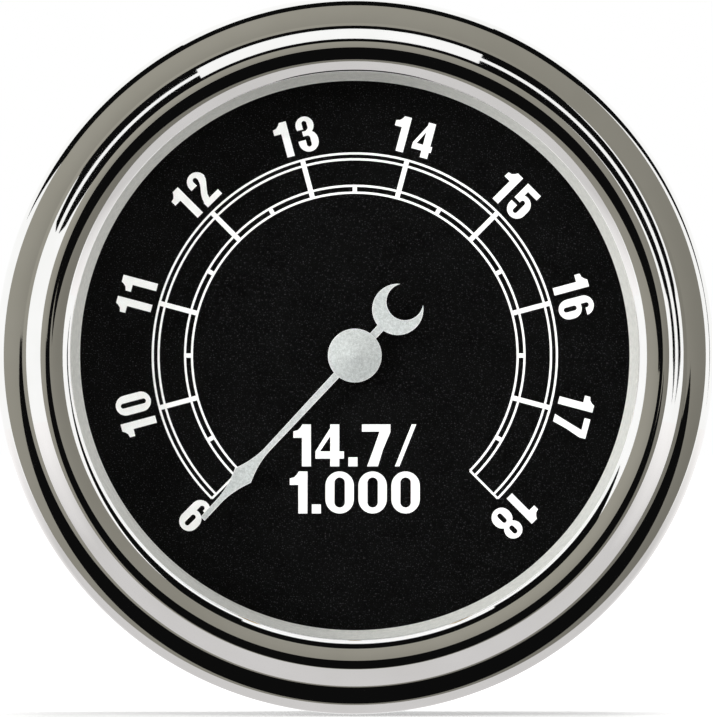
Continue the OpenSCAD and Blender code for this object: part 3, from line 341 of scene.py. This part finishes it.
PLAIN_FINISHES = {
    "print_white": dict(colour=srgb(240, 240, 238), other=srgb(249, 249, 247), rough=(0.5, 0.62),
                        mottle_mm=1.0, grain_mm=0.08, depth_mm=0.003),
    "seal_rubber": dict(colour=srgb(36, 36, 37), other=srgb(46, 46, 47), rough=(0.6, 0.8),
                        mottle_mm=3.0, grain_mm=0.2, depth_mm=0.01),
    "plain_brass": dict(colour=srgb(199, 163, 84), other=srgb(214, 182, 104), metallic=1.0,
                        rough=(0.22, 0.38), mottle_mm=2.5, grain_mm=0.12, depth_mm=0.003,
                        wear=srgb(238, 214, 148)),
    "bright_steel": dict(colour=srgb(186, 188, 190), other=srgb(206, 207, 208), metallic=1.0,
                         rough=(0.2, 0.36), mottle_mm=3.0, grain_mm=0.15, depth_mm=0.003,
                         wear=srgb(232, 232, 232)),
    "dark_magnet": dict(colour=srgb(62, 62, 66), other=srgb(78, 78, 82), metallic=0.6, rough=(0.45, 0.65),
                        mottle_mm=2.0, grain_mm=0.12, depth_mm=0.012),
    "bobbin_plastic": dict(colour=srgb(228, 222, 200), other=srgb(236, 231, 212), rough=(0.4, 0.55),
                           mottle_mm=4.0, grain_mm=0.15, depth_mm=0.006),
    "chip_black": dict(colour=srgb(30, 30, 31), other=srgb(38, 38, 40), rough=(0.55, 0.7),
                       mottle_mm=2.0, grain_mm=0.08, depth_mm=0.006),
    "can_aluminium": dict(colour=srgb(176, 180, 184), other=srgb(196, 198, 201), metallic=1.0,
                          rough=(0.3, 0.42), mottle_mm=3.0, grain_mm=0.1, depth_mm=0.004,
                          stretch=(1, 0.05, 1)),
    "case_paint": dict(colour=srgb(24, 24, 25), other=srgb(31, 31, 32), rough=(0.34, 0.5), mottle_mm=9.0,
                       grain_mm=0.35, depth_mm=0.014, wear=srgb(92, 92, 94), wear_mm=0.12, coat=0.15),
    "white_plastic": dict(colour=srgb(232, 232, 228), other=srgb(242, 242, 239), rough=(0.35, 0.5),
                          mottle_mm=5.0, grain_mm=0.2, depth_mm=0.005),
    "zinc_plate": dict(colour=srgb(176, 180, 184), other=srgb(208, 208, 200), metallic=1.0,
                       rough=(0.26, 0.46), mottle_mm=2.2, grain_mm=0.22, depth_mm=0.006,
                       wear=srgb(226, 226, 224)),
    "black_plastic": dict(colour=srgb(28, 28, 29), other=srgb(36, 36, 37), rough=(0.45, 0.62), mottle_mm=5.0,
                          grain_mm=0.12, depth_mm=0.01, wear=srgb(66, 66, 68), wear_mm=0.1),
}


def make_finishes():
    """One finish for each of the record's material slots."""
    made = {make.__name__: make() for make in DETAILED_FINISHES}
    for name, look in PLAIN_FINISHES.items():
        made[name] = finish(name, **look)
    for slot in NODES_SLOTS.values():
        if slot not in made:
            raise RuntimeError("no finish for the slot " + slot)
    return made


# Shapes

# Faces that meet at less than this look smooth
SMOOTH_DEG = 35


def mesh_object(name, points, faces):
    mesh = bpy.data.meshes.new(name)
    mesh.from_pydata([tuple(p) for p in points], [], faces)
    mesh.update()
    mesh.shade_smooth()
    mesh.set_sharp_from_angle(angle=math.radians(SMOOTH_DEG))
    piece = bpy.data.objects.new(name, mesh)
    SCENE.collection.objects.link(piece)
    return piece


def arc(middle_r, middle_z, radius, from_deg, to_deg, steps):
    """Points of a section's round stretch. Its angles are the surface's slope: 0 faces the viewer, and a
    positive one faces outward."""
    turn = [math.radians(from_deg + (to_deg - from_deg) * i / steps) for i in range(steps + 1)]
    return [(middle_r + radius * math.sin(a), middle_z + radius * math.cos(a)) for a in turn]


def lathe(name, section_mm, steps=360):
    """A closed section of (radius, height toward the viewer), turned round the gauge's axis."""
    points = []
    for i in range(steps):
        angle = 2 * math.pi * i / steps
        for r, z in section_mm:
            points.append((r * MM * math.cos(angle), -z * MM, r * MM * math.sin(angle)))
    count = len(section_mm)
    faces = []
    for i in range(steps):
        here, there = i * count, (i + 1) % steps * count
        for k in range(count):
            after = (k + 1) % count
            faces.append((here + k, there + k, there + after, here + after))
    return mesh_object(name, points, faces)


# Bezel, as pressed sheet: an outer roll, and an inner step that rises from it in an S and falls to the
# window. Its sizes are in millimetres.

SHEET = 0.6
RIM_W = 7.6
HEM_GAP = 0.3
# How far the case's flange reaches past its barrel, which the hem closes round
FLANGE_OVER = 2.7
ROLL_R = 3.0
BEZEL_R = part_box("bezel")[1].x / MM
ROLL_AT = BEZEL_R - ROLL_R
ROLL_Z = 3.6
# Where the window's turned-in lip ends, over the glass
LIP_Z = 4.2
# How much the skin falls to the window's bore for each millimetre inward
BORE_FALL = 2
# The step's outer side, outward from its crest: each arc's radius and the slope at its far end
CREST_AT = 31.22
STEP_ARCS = ((0.98, 50.0), (2.6, 58.5), (17.0, 62.0))
# Its foot is hollow, so there the slope falls again, and a tight fillet meets the roll
FOOT_ARCS = ((17.0, 58.5), (1.6, 47.5), (4.1, 41.0), (0.16, 6.3))
# The step's inner side, from the crest to the window
WINDOW_ARCS = ((1.72, 40.0), (4.5, 47.0), (3.4, 58.5), (7.0, 64.5))
# The sheet's back: a round under the crest, and one under the roll from this slope outward
BACK_ROUND_R = 0.7
BACK_ROUND_DROP = 1.3
BACK_ROUND_SLOPES = (-52, 58)
BACK_ROLL_SLOPE = 5
# The most that one step of an arc turns, in degrees
ARC_STEP_DEG = 1.5


def roll_slope(r):
    return math.degrees(math.asin((r - ROLL_AT) / ROLL_R))


def run_arcs(start, slope, arcs, side, bend):
    """Points along arcs that follow one another. Side is 1 outward and -1 inward. Bend is 1 where the
    surface falls ever steeper, and -1 where it levels out."""
    points = [start]
    r, z = start
    for radius, end in arcs:
        steps = max(4, round(abs(end - slope) / ARC_STEP_DEG))
        first = slope
        for i in range(1, steps + 1):
            last = first + (end - first) * i / steps
            a, b = math.radians(slope), math.radians(last)
            r += side * bend * radius * (math.sin(b) - math.sin(a))
            z -= bend * radius * (math.cos(a) - math.cos(b))
            points.append((r, z))
            slope = last
    return points


def step_section():
    """The step's skin from the roll to the window. Its crest is as high as lets its foot meet the roll."""
    outer = run_arcs((CREST_AT, 0.0), 0.0, STEP_ARCS, 1, 1)
    foot = run_arcs(outer[-1], STEP_ARCS[-1][1], FOOT_ARCS, 1, -1)
    side = outer + foot[1:]
    meet_r, meet_z = side[-1]
    rise = ROLL_Z + math.sqrt(ROLL_R ** 2 - (meet_r - ROLL_AT) ** 2) - meet_z
    inner = run_arcs((CREST_AT, 0.0), 0.0, WINDOW_ARCS, -1, 1)
    return [(r, z + rise) for r, z in reversed(side)] + [(r, z + rise) for r, z in inner[1:]]


def bezel_section():
    step = step_section()
    step_top = max(z for r, z in step)
    window_r = BEZEL_R - RIM_W
    front = [(BEZEL_R - SHEET, 0)]
    front += arc(BEZEL_R - SHEET, SHEET, SHEET, 180, 90, 8)
    front += arc(ROLL_AT, ROLL_Z, ROLL_R, 90, roll_slope(step[0][0]), 64)
    front += step[1:]
    bore_z = front[-1][1] - (front[-1][0] - window_r) * BORE_FALL
    back_z = bore_z - SHEET / 2
    hem_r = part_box("case")[1].x / MM - FLANGE_OVER + HEM_GAP
    back = [(window_r, bore_z), (window_r, LIP_Z), (window_r + SHEET, LIP_Z), (window_r + SHEET, back_z)]
    back += arc(CREST_AT, step_top - BACK_ROUND_DROP, BACK_ROUND_R, *BACK_ROUND_SLOPES, 12)
    back += arc(ROLL_AT, ROLL_Z, ROLL_R - SHEET, BACK_ROLL_SLOPE, 90, 16)
    back += [(BEZEL_R - SHEET, SHEET), (hem_r, SHEET), (hem_r, 0)]
    return front + back


def make_bezel():
    piece = lathe("bezel_plated", bezel_section())
    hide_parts("bezel")
    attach(piece, "housing")
    piece.visible_glossy = False
    piece.data.materials.append(FINISHES["chrome_plate"])


# Reveal ring, turned, with a fine rounded edge where it meets the dial. Its sizes are in millimetres.

RING_WALL = 0.6
RING_EDGE = 0.12
# How far the dial plate runs under the ring's foot
DIAL_TUCK = 0.6
RING_LEAN = 1.5
RING_FOOT_W = 1.4
RING_TOE = 0.05
RING_INSTEP = 0.3
RING_BREAK = 0.1


def ring_section():
    low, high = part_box("reveal_ring")
    foot_z = -high.y / MM
    top_z = -low.y / MM
    out_r = high.x / MM
    view_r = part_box("dial_plate")[1].x / MM - DIAL_TUCK
    wide_r = view_r + RING_LEAN
    seen = [(view_r + RING_TOE, foot_z), (view_r, foot_z + RING_EDGE),
            (view_r + RING_EDGE, foot_z + 2 * RING_EDGE), (view_r + RING_INSTEP, foot_z + RING_WALL),
            (wide_r, top_z - RING_BREAK), (wide_r + RING_BREAK, top_z), (out_r, top_z)]
    hidden = [(out_r, top_z - RING_WALL), (wide_r + RING_WALL, top_z - RING_WALL),
              (view_r + RING_WALL + RING_BREAK, foot_z + RING_WALL),
              (view_r + RING_FOOT_W, foot_z + RING_WALL), (view_r + RING_FOOT_W, foot_z)]
    return seen + hidden


def make_reveal_ring():
    piece = lathe("reveal_ring_turned", ring_section())
    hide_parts("reveal_ring")
    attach(piece, "housing")
    piece.visible_glossy = False
    piece.data.materials.append(FINISHES["bright_ring"])


# CAD pieces that keep their shape

# The photograph's bezel shows only the studio, so of all the pieces only these show in polished metal
IN_REFLECTIONS = ("mounting_studs", "stud_washers", "stud_nuts", "terminal_block", "signal_terminal",
                  "power_terminal", "ground_terminal", "lamp_socket", "lamp_contacts", "lock_washers",
                  "thumb_nut_left", "thumb_nut_right")


def dress_nodes():
    """Every CAD node gets its slot's finish, and the few that polished metal shows are marked."""
    for name, piece in NODES.items():
        piece.visible_glossy = name in IN_REFLECTIONS
        material = FINISHES[NODES_SLOTS[name]]
        if not piece.data.materials:
            piece.data.materials.append(material)
        for slot in piece.material_slots:
            slot.link = "OBJECT"
            slot.material = material


# Studio: a pale floor, a white backdrop, soft lamps and the cards that polished metal shows

FLOOR_GAP = 0.0002
FLOOR_REACH = 8.0
CARD_DISTANCE = 1.5
# How much nearer the next layer of cards hangs
LAYER_GAP = 0.05
# The world's strength for light that falls on the pieces. The camera and polished metal see it white.
WORLD_DIFFUSE = 0.47


def make_world():
    world = bpy.data.worlds.new("studio")
    world.use_nodes = True
    tree = world.node_tree
    rays = add(tree, "LightPath")
    seen = math_node(tree, "MAXIMUM", rays.outputs["Is Camera Ray"], rays.outputs["Is Glossy Ray"])
    seen = math_node(tree, "MAXIMUM", seen, rays.outputs["Is Transmission Ray"])
    strength = spread(tree, seen, WORLD_DIFFUSE, 1.0, 0.0, 1.0)
    put(tree, tree.nodes["Background"].inputs["Strength"], strength)
    tree.nodes["Background"].inputs["Color"].default_value = (1, 1, 1, 1)
    SCENE.world = world


def make_floor():
    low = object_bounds()[0].z - FLOOR_GAP
    sides = ((-1, -1), (1, -1), (1, 1), (-1, 1))
    corners = [(x * FLOOR_REACH, y * FLOOR_REACH, low) for x, y in sides]
    floor = mesh_object("floor", corners, [(0, 1, 2, 3)])
    material, tree, shader = new_material("floor_paper")
    fibres = noise(tree, 2.0, 4.0)
    put(tree, shader.inputs["Base Color"], blend(tree, fibres, srgb(226, 226, 225), srgb(232, 232, 231)))
    shader.inputs["Roughness"].default_value = 0.9
    rays = add(tree, "LightPath")
    seen = math_node(tree, "MAXIMUM", rays.outputs["Is Camera Ray"], rays.outputs["Is Transmission Ray"])
    shader.inputs["Emission Color"].default_value = (1, 1, 1, 1)
    away = add(tree, "VectorMath", {0: place(tree)}, operation="LENGTH").outputs["Value"]
    glow = spread(tree, away, 0.42, 1.1, 0.06, 0.2)
    put(tree, shader.inputs["Emission Strength"], math_node(tree, "MULTIPLY", seen, glow))
    floor.data.materials.append(material)
    floor.visible_glossy = False


def lamp(name, at, size, power):
    """A soft lamp aimed at the dial. Polished metal shows the cards in its place."""
    data = bpy.data.lights.new(name, "AREA")
    data.shape = "DISK"
    data.size = size
    data.energy = power
    light = bpy.data.objects.new(name, data)
    light.location = at
    light.rotation_euler = (-Vector(at)).to_track_quat("-Z", "Y").to_euler()
    light.visible_glossy = False
    SCENE.collection.objects.link(light)


def make_lamps():
    lamp("key_left", (-1.35, -1.15, 0.3), 0.8, 28)
    lamp("front", (0.2, -2.4, 0.7), 1.2, 29)
    lamp("fill_right", (1.1, -1.5, 0.5), 1.0, 3)
    lamp("top_rear", (0.2, 0.9, 1.6), 1.0, 24)


def direction(alpha_deg, theta_deg):
    """The direction at alpha from the line to the viewer, and theta round it, anticlockwise from the
    right."""
    alpha, theta = math.radians(alpha_deg), math.radians(theta_deg)
    return Vector((math.sin(alpha) * math.cos(theta), -math.cos(alpha), math.sin(alpha) * math.sin(theta)))


def card(name, level, low, high, from_deg, to_deg, layer=0, colour=(1, 1, 1), steps=48, rows=12,
         fall=None, fade=None):
    """A curved card round the gauge, between two functions of theta that give alpha. A higher layer hangs
    nearer and covers the ones behind it. Fall is how the level changes for each metre. Fade is a low height,
    a high one, and the level at the low one, and the full level is at the high one. Only polish shows it."""
    radius = CARD_DISTANCE - LAYER_GAP * layer
    points = []
    for i in range(steps + 1):
        theta = from_deg + (to_deg - from_deg) * i / steps
        for k in range(rows + 1):
            alpha = low(theta) + (high(theta) - low(theta)) * k / rows
            points.append(direction(alpha, theta) * radius)
    faces = []
    for i in range(steps):
        for k in range(rows):
            first = i * (rows + 1) + k
            faces.append((first, first + 1, first + rows + 2, first + rows + 1))
    piece = mesh_object(name, points, faces)
    material = bpy.data.materials.new(name)
    material.use_nodes = True
    tree = material.node_tree
    tree.nodes.remove(tree.nodes["Principled BSDF"])
    glow = add(tree, "Emission", {"Color": (*colour, 1), "Strength": level})
    if fall:
        put(tree, glow.inputs["Strength"], math_node(tree, "ADD", along(tree, fall), level))
    if fade:
        low_z, high_z, low_level = fade
        height = along(tree, (0, 0, 1))
        put(tree, glow.inputs["Strength"], spread(tree, height, low_level, level, low_z, high_z))
    tree.links.new(glow.outputs[0], tree.nodes["Material Output"].inputs["Surface"])
    piece.data.materials.append(material)
    piece.visible_camera = False
    piece.visible_diffuse = False
    piece.visible_shadow = False
    piece.visible_transmission = False


def along(tree, way):
    """How far a point lies along a direction."""
    return add(tree, "VectorMath", {0: place(tree), 1: way}, operation="DOT_PRODUCT").outputs["Value"]


def fixed(alpha):
    return lambda theta: alpha


def sink(theta):
    """How far a direction is below the level, from 0 to 1."""
    return max(0.0, -math.sin(math.radians(theta)))


def cloth_far(theta):
    """How far the dark cloth under the camera reaches, most straight below."""
    side, drop = 24, 56
    return side + drop * sink(theta) ** 0.85


def cloth_near(theta):
    """Its near edge, which leaves the line to the camera at its right end."""
    right_end, closing = 27, 1.2
    return max(0.0, right_end - closing * abs(theta + 2))


def room_far(theta):
    """Where the room in front of the bezel ends, nearest at the top."""
    level_end, top_cut = 95, 4
    return level_end - top_cut * max(0.0, math.sin(math.radians(theta)))


def dark_near(theta):
    """The near edge of the dark band over the bezel, which the side softboxes narrow toward its ends."""
    right = 118 + 0.4 * max(0.0, -theta) - 22 * max(0.0, theta - 10) / 34
    left = 96 + 26 * (theta - 148) / 10
    return max(90.0, right, left)


def table_start(theta):
    """The near edge of the pale table top below the gauge, further off toward its ends."""
    middle, rise, half_width = 86.5, 12, 70
    return middle + rise * (abs(theta + 90) / half_width) ** 2


BLACK = 0.004
CAMERA_FLAG_END = 12.4
# Where the dark band ends behind the gauge: at its middle, and at its two sides
BAND_MIDDLE_END = 116.5
BAND_SIDE_END = 121.5
TABLE_END = 165
ROOM_TONE = srgb(150, 147, 137)
ROOM_FALL = (-0.11, 0, 0.11)
TABLE_TONE = (1.0, 0.975, 0.975)
TABLE_FADE = (-0.75, -0.27, 0.63)


def make_cards():
    """Angles are degrees from the line to the camera. All else round the gauge is the white world."""
    card("room_front", 0.84, fixed(0), room_far, -180, 180, 0, ROOM_TONE, steps=96, fall=ROOM_FALL)
    card("camera_flag", BLACK, fixed(0), fixed(CAMERA_FLAG_END), -180, 180, 2)
    card("dark_cloth", BLACK, cloth_near, cloth_far, -183, -2, 1)
    card("top_flag", BLACK, dark_near, fixed(BAND_MIDDLE_END), 67, 119, 1)
    card("top_flag_right", BLACK, dark_near, fixed(BAND_SIDE_END), -9, 67, 1, steps=96)
    card("top_flag_left", BLACK, dark_near, fixed(BAND_SIDE_END), 119, 157.5, 1)
    card("table_top", 1.0, table_start, fixed(TABLE_END), -168, -12, 1, TABLE_TONE, steps=96,
         fade=TABLE_FADE)


NODES_SLOTS = {part["node"]: part["material_slot"] for part in frame["record"]["subparts"]}
FINISHES = {}


def main():
    SCENE.view_settings.view_transform = "Standard"
    make_camera()
    FINISHES.update(make_finishes())
    dress_nodes()
    make_bezel()
    make_reveal_ring()
    make_world()
    make_floor()
    make_lamps()
    make_cards()


main()
